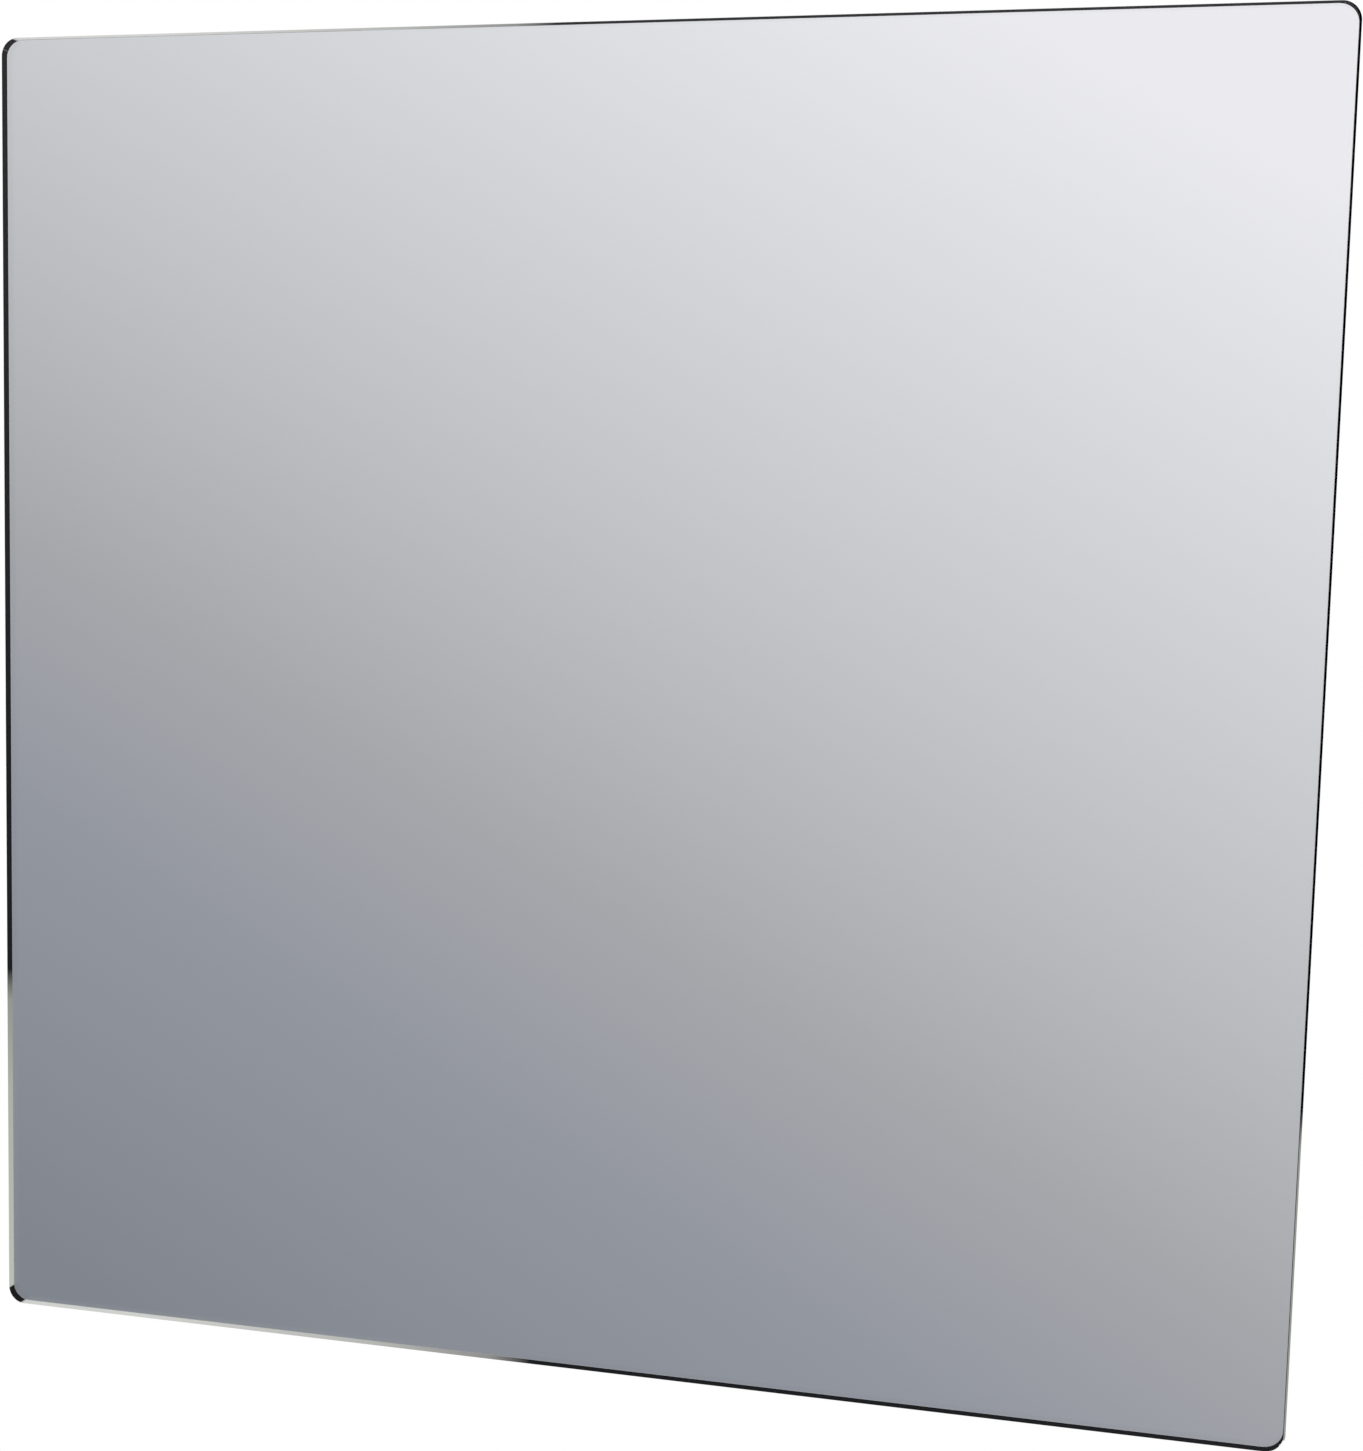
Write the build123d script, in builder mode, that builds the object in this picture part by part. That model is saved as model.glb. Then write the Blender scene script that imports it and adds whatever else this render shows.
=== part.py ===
"""Flat, frameless, square glass mirror on a pan-and-tilt wall bracket.

+X is to the right and +Z is up, as seen by someone facing the mirror, and +Y points from the mirror to the
wall. The origin is the centre of the wall plate's back face. All lengths are in millimetres. A "depth" is a
distance in front of the wall, so what lies at depth d lies in the plane y = -d.
"""

import os

from build123d import *

os.makedirs("parts", exist_ok=True)

# ---------------------------------------------------------------------------------------------------------
# Driving dimensions
# ---------------------------------------------------------------------------------------------------------
# Mirror pane: float glass, silvered and painted on its back
GLASS_SIDE = 600.0
GLASS_THICKNESS = 4.0
GLASS_CORNER = 8.0
GLASS_ARRIS = 0.2
SILVER_THICKNESS = 0.1
PAINT_THICKNESS = 0.15

# Backing board, taped and sealed to the back of the pane
TAPE_THICKNESS = 1.1
TAPE_WIDTH = 25.0
TAPE_LENGTH = 520.0
TAPE_SPACING = 96.0
TAPE_COUNT = 6
BOARD_SIDE = 560.0
BOARD_THICKNESS = 5.0
BOARD_CORNER = 10.0
BOARD_CHAMFER = 0.8
BEAD_OVERHANG = 3.0
BEAD_INSET = 6.0
BEAD_TAPER = 44.0

# Steel on the mirror's side: carrier plate, two cheeks and two gussets, welded together
PAD_THICKNESS = 2.0
CARRIER_SIDE = 220.0
CARRIER_THICKNESS = 4.0
CARRIER_CORNER = 20.0
SCREW_SPACING = 170.0
CHEEK_THICKNESS = 5.0
CHEEK_RADIUS = 20.0
CHEEK_ROOT = 92.0
CHEEK_GUSSET_THICKNESS = 4.0
CHEEK_GUSSET_REACH = 58.0
CHEEK_GUSSET_HEIGHT = 30.0
PLATE_CHAMFER = 0.5
TOUCHING = 0.001
HULL_SLIVER = 1.0

# Steel on the wall's side: wall plate, arm, two gussets and a bent fork, welded together
WALL_PLATE_WIDTH = 140.0
WALL_PLATE_HEIGHT = 180.0
WALL_PLATE_THICKNESS = 6.0
WALL_PLATE_CORNER = 12.0
WALL_HOLE_RADIUS = 5.5
WALL_HOLE_SPACING_X = 100.0
WALL_HOLE_SPACING_Z = 140.0
TUBE_SIDE = 40.0
TUBE_WALL = 3.0
TUBE_CORNER = 5.0
ARM_GUSSET_THICKNESS = 5.0
ARM_GUSSET_HEIGHT = 58.0
ARM_GUSSET_LENGTH = 84.0
GUSSET_TOE = 6.0
FORK_GAP = 54.0
FORK_THICKNESS = 6.0
FORK_WEB_CLEARANCE = 6.0
FORK_BEND = 6.0
FORK_SIDE_MARGIN = 2.0

# Pivots: the cast swivel block turns on the fork, and the cheeks turn on the block
PAN_DEPTH = 200.0
PAN_TO_TILT = 55.0
TILT_TO_FACE = 65.0
BARREL_RADIUS = 20.0
TONGUE_WIDTH = 30.0
TONGUE_RADIUS = 18.0
TONGUE_ROOT_INSET = 4.0
CAST_ROUNDING = 1.5
BUSH_RADIUS = 7.0
BUSH_FLANGE_RADIUS = 13.0
BUSH_FLANGE = 2.0
BUSH_CHAMFER = 0.4
PAN_BUSH_LENGTH = 16.0
TILT_BUSH_LENGTH = 12.0
BUSH_FIT = 0.02
RUNNING_FIT = 0.06
SIDE_PLAY = 0.05

# Fasteners: M10 in the pivots, countersunk M6 between the board and the carrier plate
M10_RADIUS = 5.0
M10_FLATS = 17.0
M10_HEAD = 6.4
M10_NUT = 8.0
M10_PITCH = 1.5
M10_TURNS = 11
M10_HOLE = 5.25
M10_WASHER_RADIUS = 10.0
M10_WASHER = 2.0
PAN_BOLT_LENGTH = 85.0
TILT_BOLT_LENGTH = 65.0
DISC_RADIUS = 10.0
DISC_HOLE = 5.2
DISC_THICKNESS = 1.0
DISC_CONE = 0.5
M6_RADIUS = 3.0
M6_FLATS = 10.0
M6_NUT = 5.0
M6_PITCH = 1.0
M6_TURNS = 13
M6_HOLE = 3.3
M6_WASHER_RADIUS = 6.0
M6_WASHER = 1.6
M6_HEAD_RADIUS = 5.8
M6_SOCKET = 4.0
M6_SOCKET_DEPTH = 1.8
M6_SCREW_LENGTH = 25.0
HEAD_RECESS = 0.1
HEAD_FIT = 0.05
THREAD_FIT = 0.03
THREAD_DEPTH = 0.6
THREAD_WIDTH = 0.86
THREAD_START = 1.5
CORNER_CUT = 0.96
HEX_TAPER = 60.0
COLLAR_RADIUS = 0.86
COLLAR_HEIGHT = 0.3
COUNTERSINK_ANGLE = 90.0
WASHER_CHAMFER = 0.3

# ---------------------------------------------------------------------------------------------------------
# Worked out from the driving dimensions
# ---------------------------------------------------------------------------------------------------------
TILT_DEPTH = PAN_DEPTH + PAN_TO_TILT
FACE_DEPTH = TILT_DEPTH + TILT_TO_FACE
GLASS_BACK = FACE_DEPTH - GLASS_THICKNESS
SILVER_BACK = GLASS_BACK - SILVER_THICKNESS
PAINT_BACK = SILVER_BACK - PAINT_THICKNESS
BOARD_FRONT = PAINT_BACK - TAPE_THICKNESS
BOARD_BACK = BOARD_FRONT - BOARD_THICKNESS
CARRIER_FRONT = BOARD_BACK - PAD_THICKNESS
CARRIER_BACK = CARRIER_FRONT - CARRIER_THICKNESS
COATED_SIDE = GLASS_SIDE - 2 * GLASS_ARRIS
COATED_CORNER = GLASS_CORNER - GLASS_ARRIS

FORK_OUTER = FORK_GAP / 2 + FORK_THICKNESS
FORK_RADIUS = BARREL_RADIUS + FORK_SIDE_MARGIN
FORK_WEB_FRONT = PAN_DEPTH - BARREL_RADIUS - FORK_WEB_CLEARANCE
FORK_WEB_BACK = FORK_WEB_FRONT - FORK_THICKNESS
BARREL_HALF = FORK_GAP / 2 - BUSH_FLANGE - SIDE_PLAY
TONGUE_HALF = TONGUE_WIDTH / 2
CHEEK_INNER = TONGUE_HALF + BUSH_FLANGE + SIDE_PLAY
CHEEK_OUTER = CHEEK_INNER + CHEEK_THICKNESS

COUNTERSINK_RADIUS = M6_HEAD_RADIUS + HEAD_RECESS + HEAD_FIT
SCREW_OFFSETS = (-SCREW_SPACING / 2, SCREW_SPACING / 2)
SCREW_PLACES = [Location((x, 0, z)) for x in SCREW_OFFSETS for z in SCREW_OFFSETS]

# Each pivot's plane is centred on the joint, and its z runs along the bolt from the head to the nut.
PAN_AXIS = Plane(origin=(0, -PAN_DEPTH, 0), x_dir=(1, 0, 0), z_dir=(0, 0, -1))
TILT_AXIS = Plane(origin=(0, -TILT_DEPTH, 0), x_dir=(0, 1, 0), z_dir=(1, 0, 0))
TOWARDS_WALL = (0, 1, 0)


def at_depth(depth):
    """The plane at that depth that faces the viewer. Its x is +X and its y is +Z."""
    return Plane.XZ.offset(depth)


def back_at_depth(depth):
    """The plane at that depth that faces the wall."""
    return Plane(origin=(0, -depth, 0), x_dir=(1, 0, 0), z_dir=TOWARDS_WALL)


def on_plane_y(edge, y):
    """True for an edge that lies in the plane at that y."""
    return abs(edge.bounding_box().min.Y - y) < TOUCHING and abs(edge.bounding_box().max.Y - y) < TOUCHING


def sloping_edges(builder):
    """The long edges of a gusset that run along no axis. Its snipped toes are shorter."""
    sloping = builder.edges().filter_by(lambda edge: edge.length > 2 * GUSSET_TOE)
    for axis in (Axis.X, Axis.Y, Axis.Z):
        sloping = sloping - sloping.filter_by(axis)
    return sloping


def write(part, name):
    """Names a finished piece and writes its STEP file."""
    part.label = name
    export_step(part, f"parts/{name}.step")


# ---------------------------------------------------------------------------------------------------------
# Fasteners and bushes
# ---------------------------------------------------------------------------------------------------------
def end_face(builder, plane):
    """The face that lies furthest along the plane's z."""
    return builder.faces().sort_by(Axis(plane.origin, plane.z_dir))[-1]


def thread_grooves(plane, radius, pitch, end, turns):
    """The V grooves of a thread along the plane's z, the first of them THREAD_START turns from the tip."""
    depth = THREAD_DEPTH * pitch
    half = THREAD_WIDTH * pitch / 2
    with BuildPart() as grooves:
        with BuildSketch(Plane(plane.origin, x_dir=plane.x_dir, z_dir=-plane.y_dir)):
            for turn in range(turns):
                middle = end - (turn + THREAD_START) * pitch
                with BuildLine():
                    Polyline(
                        (radius, middle - half),
                        (radius - depth, middle),
                        (radius, middle + half),
                        close=True,
                    )
                make_face()
        revolve(axis=Axis(plane.origin, plane.z_dir))
    return grooves.part


def hex_bolt(seat, length):
    """An M10 hexagon bolt. The seat lies under its head and faces its tip."""
    with BuildPart() as bolt:
        with BuildSketch(seat):
            RegularPolygon(M10_FLATS / 2, 6, major_radius=False)
        extrude(amount=-M10_HEAD)
        with BuildSketch(seat.offset(-M10_HEAD)):
            Circle(CORNER_CUT * M10_FLATS / 2)
        extrude(amount=M10_HEAD, taper=-HEX_TAPER, mode=Mode.INTERSECT)
        with BuildSketch(seat):
            Circle(M10_RADIUS)
        extrude(amount=length)
        chamfer(end_face(bolt, seat).edges(), THREAD_DEPTH * M10_PITCH)
        add(thread_grooves(seat, M10_RADIUS, M10_PITCH, length, M10_TURNS), mode=Mode.SUBTRACT)
    return bolt.part


def lock_nut(seat, radius, flats, height):
    """A hexagon nut with a round collar for its locking ring, standing on its seat."""
    with BuildPart() as nut:
        with BuildSketch(seat):
            RegularPolygon(flats / 2, 6, major_radius=False)
        extrude(amount=height)
        with BuildSketch(seat.offset(height)):
            Circle(CORNER_CUT * flats / 2)
        extrude(amount=-height, taper=-HEX_TAPER, mode=Mode.INTERSECT)
        with BuildSketch(seat.offset(height)):
            Circle(COLLAR_RADIUS * flats / 2)
        extrude(amount=COLLAR_HEIGHT * height)
        fillet(end_face(nut, seat).edges(), COLLAR_HEIGHT * height / 2)
        with BuildSketch(seat):
            Circle(radius + THREAD_FIT)
        extrude(amount=(1 + COLLAR_HEIGHT) * height, mode=Mode.SUBTRACT)
    return nut.part


def washer(seat, outer, inner, thickness):
    """A flat washer, lying on its seat."""
    with BuildPart() as ring:
        with BuildSketch(seat):
            Circle(outer)
            Circle(inner, mode=Mode.SUBTRACT)
        extrude(amount=thickness)
        chamfer(ring.edges().filter_by(GeomType.CIRCLE).group_by(SortBy.RADIUS)[-1], WASHER_CHAMFER)
    return ring.part


def disc_spring(seat):
    """A conical spring washer for M10, its wide edge on its seat."""
    with BuildPart() as spring:
        with BuildSketch(Plane(seat.origin, x_dir=seat.x_dir, z_dir=-seat.y_dir)):
            with BuildLine():
                Polyline(
                    (DISC_RADIUS, 0),
                    (DISC_RADIUS, DISC_THICKNESS),
                    (DISC_HOLE, DISC_THICKNESS + DISC_CONE),
                    (DISC_HOLE, DISC_CONE),
                    close=True,
                )
            make_face()
        revolve(axis=Axis(seat.origin, seat.z_dir))
    return spring.part


def flanged_bush(seat, length):
    """A flanged plain bush. Its flange stands on the seat, and its sleeve runs back into the bore."""
    with BuildPart() as bush:
        with BuildSketch(seat):
            Circle(BUSH_FLANGE_RADIUS)
        extrude(amount=BUSH_FLANGE)
        with BuildSketch(seat):
            Circle(BUSH_RADIUS)
        extrude(amount=-length)
        chamfer(bush.edges().filter_by(GeomType.CIRCLE).group_by(SortBy.RADIUS)[-1], BUSH_CHAMFER)
        with BuildSketch(seat.offset(-length)):
            Circle(M10_RADIUS + RUNNING_FIT)
        extrude(amount=length + BUSH_FLANGE, mode=Mode.SUBTRACT)
    return bush.part


def bush_pair(axis, half, length):
    """Two flanged bushes, one in each end of a bore that is 2 * half long."""
    away = Plane(axis.origin, x_dir=axis.x_dir, z_dir=-axis.z_dir)
    with BuildPart() as pair:
        add(flanged_bush(axis.offset(half), length))
        add(flanged_bush(away.offset(half), length))
    return pair.part


def washer_pair(axis, half):
    """The M10 washers outside both ends of a joint that is 2 * half wide."""
    with BuildPart() as pair:
        for start in (-half - M10_WASHER, half):
            add(washer(axis.offset(start), M10_WASHER_RADIUS, M10_HOLE, M10_WASHER))
    return pair.part


def write_pivot(name, axis, half, length):
    """Writes the bolt, washers, disc spring and lock nut of a pivot whose ears span 2 * half."""
    spring_seat = axis.offset(half + M10_WASHER)
    nut_seat = spring_seat.offset(DISC_THICKNESS + DISC_CONE)
    write(hex_bolt(axis.offset(-half - M10_WASHER), length), f"{name}_bolt")
    write(washer_pair(axis, half), f"{name}_washers")
    write(disc_spring(spring_seat), f"{name}_disc_spring")
    write(lock_nut(nut_seat, M10_RADIUS, M10_FLATS, M10_NUT), f"{name}_nut")


# ---------------------------------------------------------------------------------------------------------
# Mirror pane: glass, silver and paint
# ---------------------------------------------------------------------------------------------------------
with BuildPart() as glass_pane:
    with BuildSketch(at_depth(GLASS_BACK)):
        RectangleRounded(GLASS_SIDE, GLASS_SIDE, GLASS_CORNER)
    extrude(amount=GLASS_THICKNESS)
    chamfer(glass_pane.faces().filter_by(Axis.Y).edges(), GLASS_ARRIS)
write(glass_pane.part, "glass_pane")

with BuildPart() as silver_layer:
    with BuildSketch(at_depth(SILVER_BACK)):
        RectangleRounded(COATED_SIDE, COATED_SIDE, COATED_CORNER)
    extrude(amount=SILVER_THICKNESS)
write(silver_layer.part, "silver_layer")

with BuildPart() as back_paint:
    with BuildSketch(at_depth(PAINT_BACK)):
        RectangleRounded(COATED_SIDE, COATED_SIDE, COATED_CORNER)
    extrude(amount=PAINT_THICKNESS)
write(back_paint.part, "back_paint")

# ---------------------------------------------------------------------------------------------------------
# Backing: tape, board, sealant bead and rubber pad
# ---------------------------------------------------------------------------------------------------------
with BuildPart() as bonding_tape:
    with BuildSketch(at_depth(BOARD_FRONT)):
        with GridLocations(TAPE_SPACING, TAPE_LENGTH, TAPE_COUNT, 1):
            Rectangle(TAPE_WIDTH, TAPE_LENGTH)
    extrude(amount=TAPE_THICKNESS)
write(bonding_tape.part, "bonding_tape")

with BuildPart() as backing_board:
    with BuildSketch(at_depth(BOARD_BACK)):
        RectangleRounded(BOARD_SIDE, BOARD_SIDE, BOARD_CORNER)
    extrude(amount=BOARD_THICKNESS)
    chamfer(backing_board.faces().sort_by(Axis.Y)[-1].edges(), BOARD_CHAMFER)
    with Locations(at_depth(BOARD_FRONT)):
        with GridLocations(SCREW_SPACING, SCREW_SPACING, 2, 2):
            CounterSinkHole(M6_HOLE, COUNTERSINK_RADIUS, counter_sink_angle=COUNTERSINK_ANGLE)
write(backing_board.part, "backing_board")

BEAD_SIDE = BOARD_SIDE + 2 * BEAD_OVERHANG
BEAD_INNER_SIDE = BOARD_SIDE - 2 * BEAD_INSET
with BuildPart() as edge_sealant:
    with BuildSketch(at_depth(BOARD_FRONT)):
        RectangleRounded(BEAD_SIDE, BEAD_SIDE, BOARD_CORNER + BEAD_OVERHANG)
        RectangleRounded(BEAD_INNER_SIDE, BEAD_INNER_SIDE, BOARD_CORNER, mode=Mode.SUBTRACT)
    extrude(amount=TAPE_THICKNESS)
    with BuildSketch(back_at_depth(BOARD_FRONT)):
        RectangleRounded(BEAD_SIDE, BEAD_SIDE, BOARD_CORNER + BEAD_OVERHANG)
    extrude(amount=BEAD_OVERHANG, taper=BEAD_TAPER)
    with BuildSketch(back_at_depth(BOARD_FRONT)):
        RectangleRounded(BOARD_SIDE, BOARD_SIDE, BOARD_CORNER)
    extrude(amount=BEAD_OVERHANG, mode=Mode.SUBTRACT)
write(edge_sealant.part, "edge_sealant")

with BuildPart() as rubber_pad:
    with BuildSketch(at_depth(CARRIER_FRONT)):
        RectangleRounded(CARRIER_SIDE, CARRIER_SIDE, CARRIER_CORNER)
        with GridLocations(SCREW_SPACING, SCREW_SPACING, 2, 2):
            Circle(M6_HOLE, mode=Mode.SUBTRACT)
    extrude(amount=PAD_THICKNESS)
write(rubber_pad.part, "rubber_pad")

# ---------------------------------------------------------------------------------------------------------
# Steel on the mirror's side
# ---------------------------------------------------------------------------------------------------------
with BuildPart() as carrier_plate:
    with BuildSketch(at_depth(CARRIER_BACK)):
        RectangleRounded(CARRIER_SIDE, CARRIER_SIDE, CARRIER_CORNER)
        with GridLocations(SCREW_SPACING, SCREW_SPACING, 2, 2):
            Circle(M6_HOLE, mode=Mode.SUBTRACT)
    extrude(amount=CARRIER_THICKNESS)
    chamfer(carrier_plate.faces().sort_by(Axis.Y)[-1].outer_wire().edges(), PLATE_CHAMFER)
write(carrier_plate.part, "carrier_plate")

with BuildPart() as tilt_cheeks:
    for inner in (CHEEK_INNER, -CHEEK_OUTER):
        with BuildSketch(TILT_AXIS.offset(inner)):
            Circle(CHEEK_RADIUS)
            with Locations((TILT_DEPTH - CARRIER_BACK, 0)):
                Rectangle(HULL_SLIVER, CHEEK_ROOT, align=(Align.MIN, Align.CENTER))
            make_hull()
        extrude(amount=CHEEK_THICKNESS)
    outline = tilt_cheeks.faces().filter_by(Axis.X).edges()
    chamfer(outline.filter_by(lambda edge: not on_plane_y(edge, -CARRIER_BACK)), PLATE_CHAMFER)
    with BuildSketch(TILT_AXIS.offset(-CHEEK_OUTER)):
        Circle(M10_HOLE)
    extrude(amount=2 * CHEEK_OUTER, mode=Mode.SUBTRACT)
write(tilt_cheeks.part, "tilt_cheeks")

with BuildPart() as cheek_gussets:
    for side in (1, -1):
        with BuildSketch(Plane.XY.offset(-CHEEK_GUSSET_THICKNESS / 2)):
            with BuildLine():
                Polyline(
                    (side * CHEEK_OUTER, -CARRIER_BACK + GUSSET_TOE),
                    (side * (CHEEK_OUTER + GUSSET_TOE), -CARRIER_BACK),
                    (side * (CHEEK_OUTER + CHEEK_GUSSET_REACH), -CARRIER_BACK),
                    (side * (CHEEK_OUTER + CHEEK_GUSSET_REACH), -CARRIER_BACK + GUSSET_TOE),
                    (side * (CHEEK_OUTER + GUSSET_TOE), -CARRIER_BACK + CHEEK_GUSSET_HEIGHT),
                    (side * CHEEK_OUTER, -CARRIER_BACK + CHEEK_GUSSET_HEIGHT),
                    close=True,
                )
            make_face()
        extrude(amount=CHEEK_GUSSET_THICKNESS)
    chamfer(sloping_edges(cheek_gussets), PLATE_CHAMFER)
write(cheek_gussets.part, "cheek_gussets")

# ---------------------------------------------------------------------------------------------------------
# Screws between the board and the carrier plate
# ---------------------------------------------------------------------------------------------------------
SCREW_SEAT = back_at_depth(BOARD_FRONT - HEAD_RECESS)
with BuildPart() as screw:
    with BuildSketch(SCREW_SEAT):
        Circle(M6_HEAD_RADIUS)
    extrude(amount=M6_HEAD_RADIUS - M6_RADIUS, taper=COUNTERSINK_ANGLE / 2)
    with BuildSketch(SCREW_SEAT):
        Circle(M6_RADIUS)
    extrude(amount=M6_SCREW_LENGTH)
    chamfer(end_face(screw, SCREW_SEAT).edges(), THREAD_DEPTH * M6_PITCH)
    add(thread_grooves(SCREW_SEAT, M6_RADIUS, M6_PITCH, M6_SCREW_LENGTH, M6_TURNS), mode=Mode.SUBTRACT)
    with BuildSketch(SCREW_SEAT):
        RegularPolygon(M6_SOCKET / 2, 6, major_radius=False)
    extrude(amount=M6_SOCKET_DEPTH, mode=Mode.SUBTRACT)

with BuildPart() as bracket_screws:
    with Locations(*SCREW_PLACES):
        add(screw.part)
write(bracket_screws.part, "bracket_screws")

WASHER_SEAT = back_at_depth(CARRIER_BACK)
with BuildPart() as bracket_washers:
    with Locations(*SCREW_PLACES):
        add(washer(WASHER_SEAT, M6_WASHER_RADIUS, M6_HOLE, M6_WASHER))
write(bracket_washers.part, "bracket_washers")

with BuildPart() as bracket_nuts:
    with Locations(*SCREW_PLACES):
        add(lock_nut(WASHER_SEAT.offset(M6_WASHER), M6_RADIUS, M6_FLATS, M6_NUT))
write(bracket_nuts.part, "bracket_nuts")

# ---------------------------------------------------------------------------------------------------------
# Swivel block, bushes and pivot bolts
# ---------------------------------------------------------------------------------------------------------
with BuildPart() as swivel_block:
    with BuildSketch(Plane.YZ.offset(-TONGUE_HALF)):
        with Locations((-TILT_DEPTH, 0)):
            Circle(TONGUE_RADIUS)
        with Locations((-PAN_DEPTH, 0)):
            Rectangle(HULL_SLIVER, 2 * (BARREL_HALF - TONGUE_ROOT_INSET))
        make_hull()
    extrude(amount=TONGUE_WIDTH)
    fillet(swivel_block.faces().filter_by(Axis.X).edges(), CAST_ROUNDING)
    with BuildSketch(PAN_AXIS.offset(-BARREL_HALF)):
        Circle(BARREL_RADIUS)
    extrude(amount=2 * BARREL_HALF)
    fillet(swivel_block.faces().filter_by(Axis.Z).edges(), CAST_ROUNDING)
    with BuildSketch(PAN_AXIS, TILT_AXIS):
        Circle(BUSH_RADIUS + BUSH_FIT)
    extrude(amount=2 * BARREL_RADIUS, both=True, mode=Mode.SUBTRACT)
write(swivel_block.part, "swivel_block")

write(bush_pair(PAN_AXIS, BARREL_HALF, PAN_BUSH_LENGTH), "pan_bushes")
write(bush_pair(TILT_AXIS, TONGUE_HALF, TILT_BUSH_LENGTH), "tilt_bushes")
write_pivot("pan", PAN_AXIS, FORK_OUTER, PAN_BOLT_LENGTH)
write_pivot("tilt", TILT_AXIS, CHEEK_OUTER, TILT_BOLT_LENGTH)

# ---------------------------------------------------------------------------------------------------------
# Steel on the wall's side
# ---------------------------------------------------------------------------------------------------------
with BuildPart() as wall_plate:
    with BuildSketch(at_depth(0)):
        RectangleRounded(WALL_PLATE_WIDTH, WALL_PLATE_HEIGHT, WALL_PLATE_CORNER)
        with GridLocations(WALL_HOLE_SPACING_X, WALL_HOLE_SPACING_Z, 2, 2):
            Circle(WALL_HOLE_RADIUS, mode=Mode.SUBTRACT)
    extrude(amount=WALL_PLATE_THICKNESS)
    chamfer(wall_plate.faces().sort_by(Axis.Y)[0].outer_wire().edges(), PLATE_CHAMFER)
write(wall_plate.part, "wall_plate")

with BuildPart() as arm_tube:
    with BuildSketch(at_depth(WALL_PLATE_THICKNESS)):
        RectangleRounded(TUBE_SIDE, TUBE_SIDE, TUBE_CORNER)
        bore = TUBE_SIDE - 2 * TUBE_WALL
        RectangleRounded(bore, bore, TUBE_CORNER - TUBE_WALL, mode=Mode.SUBTRACT)
    extrude(amount=FORK_WEB_BACK - WALL_PLATE_THICKNESS)
write(arm_tube.part, "arm_tube")

with BuildPart() as arm_gussets:
    for side in (1, -1):
        root = -WALL_PLATE_THICKNESS
        with BuildSketch(Plane.YZ.offset(-ARM_GUSSET_THICKNESS / 2)):
            with BuildLine():
                Polyline(
                    (root - GUSSET_TOE, side * TUBE_SIDE / 2),
                    (root, side * (TUBE_SIDE / 2 + GUSSET_TOE)),
                    (root, side * (TUBE_SIDE / 2 + ARM_GUSSET_HEIGHT)),
                    (root - GUSSET_TOE, side * (TUBE_SIDE / 2 + ARM_GUSSET_HEIGHT)),
                    (root - ARM_GUSSET_LENGTH, side * (TUBE_SIDE / 2 + GUSSET_TOE)),
                    (root - ARM_GUSSET_LENGTH, side * TUBE_SIDE / 2),
                    close=True,
                )
            make_face()
        extrude(amount=ARM_GUSSET_THICKNESS)
    chamfer(sloping_edges(arm_gussets), PLATE_CHAMFER)
write(arm_gussets.part, "arm_gussets")

with BuildPart() as pan_fork:
    with BuildSketch(Plane.YZ.offset(-FORK_RADIUS)):
        with Locations((-FORK_WEB_BACK, 0)):
            Rectangle(2 * PAN_DEPTH, 2 * FORK_OUTER, align=(Align.MAX, Align.CENTER))
        with Locations((-FORK_WEB_FRONT, 0)):
            Rectangle(2 * PAN_DEPTH, FORK_GAP, align=(Align.MAX, Align.CENTER), mode=Mode.SUBTRACT)
    extrude(amount=2 * FORK_RADIUS)
    bends = pan_fork.edges().filter_by(Axis.X).group_by(Axis.Y)
    fillet(bends[-2], FORK_BEND)
    fillet(pan_fork.edges().filter_by(Axis.X).group_by(Axis.Y)[-1], FORK_BEND + FORK_THICKNESS)
    with BuildSketch(Plane.XY.offset(-FORK_OUTER)):
        with Locations((0, -PAN_DEPTH)):
            Circle(FORK_RADIUS)
            Rectangle(2 * FORK_RADIUS, PAN_DEPTH, align=(Align.CENTER, Align.MIN))
            Circle(M10_HOLE, mode=Mode.SUBTRACT)
    extrude(amount=2 * FORK_OUTER, mode=Mode.INTERSECT)
    for end in (0, -1):
        ear_face = pan_fork.faces().sort_by(Axis.Z)[end]
        chamfer(ear_face.outer_wire().edges().filter_by(Axis.X, reverse=True), PLATE_CHAMFER)
write(pan_fork.part, "pan_fork")
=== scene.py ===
"""Looks of the square frameless mirror and its pan-and-tilt wall bracket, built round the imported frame.

Metres, in the frame's axes: the mirror faces -Y, the wall is at y = 0, and +Z is up.
"""

import math

import bmesh
import bpy
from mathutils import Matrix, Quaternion, Vector


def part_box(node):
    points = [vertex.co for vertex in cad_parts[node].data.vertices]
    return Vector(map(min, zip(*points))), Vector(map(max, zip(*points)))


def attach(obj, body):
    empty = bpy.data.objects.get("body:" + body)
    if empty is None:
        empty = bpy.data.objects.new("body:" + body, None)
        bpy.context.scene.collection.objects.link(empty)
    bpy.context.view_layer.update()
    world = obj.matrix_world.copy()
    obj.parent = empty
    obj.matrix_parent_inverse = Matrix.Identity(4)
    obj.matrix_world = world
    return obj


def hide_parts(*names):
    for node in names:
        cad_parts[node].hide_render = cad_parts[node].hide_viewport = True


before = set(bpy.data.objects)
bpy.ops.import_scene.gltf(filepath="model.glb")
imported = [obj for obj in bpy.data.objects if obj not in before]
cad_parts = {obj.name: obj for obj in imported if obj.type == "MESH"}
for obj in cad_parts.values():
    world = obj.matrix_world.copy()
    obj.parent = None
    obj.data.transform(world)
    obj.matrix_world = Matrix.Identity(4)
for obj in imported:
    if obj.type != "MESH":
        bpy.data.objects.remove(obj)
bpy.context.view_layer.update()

MM = 0.001


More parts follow.
